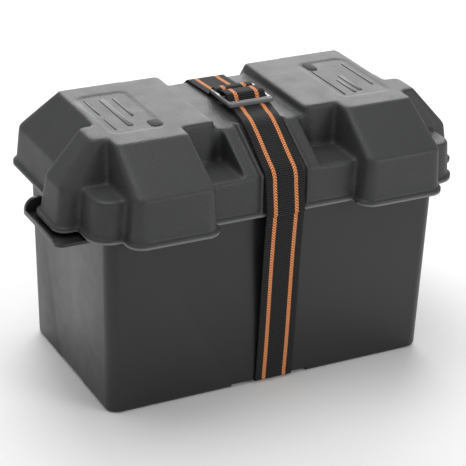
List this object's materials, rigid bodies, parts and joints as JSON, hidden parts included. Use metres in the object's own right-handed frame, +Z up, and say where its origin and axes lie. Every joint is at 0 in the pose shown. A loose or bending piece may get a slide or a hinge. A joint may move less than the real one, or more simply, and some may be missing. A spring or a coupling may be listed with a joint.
{
  "type": "deep cycle battery in a battery box",
  "caption": "Deep cycle battery with wing nut terminals in a moulded, vented battery box, whose lid is held by a webbing strap with a three-bar buckle.",
  "frame": {"origin": "bottom centre of the whole object's box, on the plane that the feet stand on", "axes": "+X along the box, -Y towards the front, where the strap's loose end hangs, +Z up"},
  "size_m": [0.4164, 0.2352, 0.2607],
  "materials": {
    "tub_plastic": "semi-gloss moulded black",
    "lid_plastic": "pebbled moulded black",
    "webbing": "ribbed polypropylene webbing with two orange stripes",
    "buckle": "dark grey, satin",
    "case_plastic": "satin black",
    "cover_plastic": "dark grey",
    "plate": "pasted lead grid",
    "separator": "porous sheet",
    "lead": "cast lead, dull",
    "cap_plastic": "amber-yellow moulded",
    "seal_rubber": "black",
    "steel": "stainless"
  },
  "bodies": {
    "box": {"base_tub": "tub_plastic", "strap_lower": "webbing", "battery_case": "case_plastic", "battery_cover": "cover_plastic", "positive_plates": "plate", "negative_plates": "plate", "plate_separators": "separator", "positive_plate_bars": "lead", "negative_plate_bars": "lead", "positive_post": "lead", "negative_post": "lead", "positive_stud": "steel", "negative_stud": "steel", "positive_washer": "steel", "negative_washer": "steel"},
    "lid": {"lid": "lid_plastic"},
    "front_flap": {"strap_front": "webbing", "strap_tail": "webbing"},
    "rear_flap": {"strap_rear": "webbing", "strap_loop": "webbing", "strap_buckle": "buckle"},
    "left_cap": {"vent_cap_left": "cap_plastic", "vent_seals_left": "seal_rubber"},
    "right_cap": {"vent_cap_right": "cap_plastic", "vent_seals_right": "seal_rubber"},
    "positive_nut": {"positive_wing_nut": "steel"},
    "negative_nut": {"negative_wing_nut": "steel"}
  },
  "joints": [
    {"name": "lid_lift", "type": "slide", "parent": "box", "child": "lid", "axis": [0, 0, 1], "range_m": [0, 0.1]},
    {"name": "front_strap_swing", "type": "hinge", "parent": "box", "child": "front_flap", "pos_m": [0, -0.10094, 0.1783], "axis": [1, 0, 0], "range_deg": [0, 150]},
    {"name": "rear_strap_swing", "type": "hinge", "parent": "box", "child": "rear_flap", "pos_m": [0, 0.11774, 0.1783], "axis": [-1, 0, 0], "range_deg": [0, 150]},
    {"name": "left_cap_lift", "type": "slide", "parent": "box", "child": "left_cap", "axis": [0, 0, 1], "range_m": [0, 0.016]},
    {"name": "right_cap_lift", "type": "slide", "parent": "box", "child": "right_cap", "axis": [0, 0, 1], "range_m": [0, 0.016]},
    {"name": "positive_nut_turn", "type": "hinge", "parent": "box", "child": "positive_nut", "pos_m": [-0.128, -0.0252, 0.2169], "axis": [0, 0, 1], "continuous": true},
    {"name": "negative_nut_turn", "type": "hinge", "parent": "box", "child": "negative_nut", "pos_m": [0.128, -0.0252, 0.2169], "axis": [0, 0, 1], "continuous": true}
  ],
  "couplings": [
    {"joint": "front_strap_swing", "follows": "lid_lift", "rad_per_m": 26.1},
    {"joint": "rear_strap_swing", "follows": "lid_lift", "rad_per_m": 26.1}
  ]
}
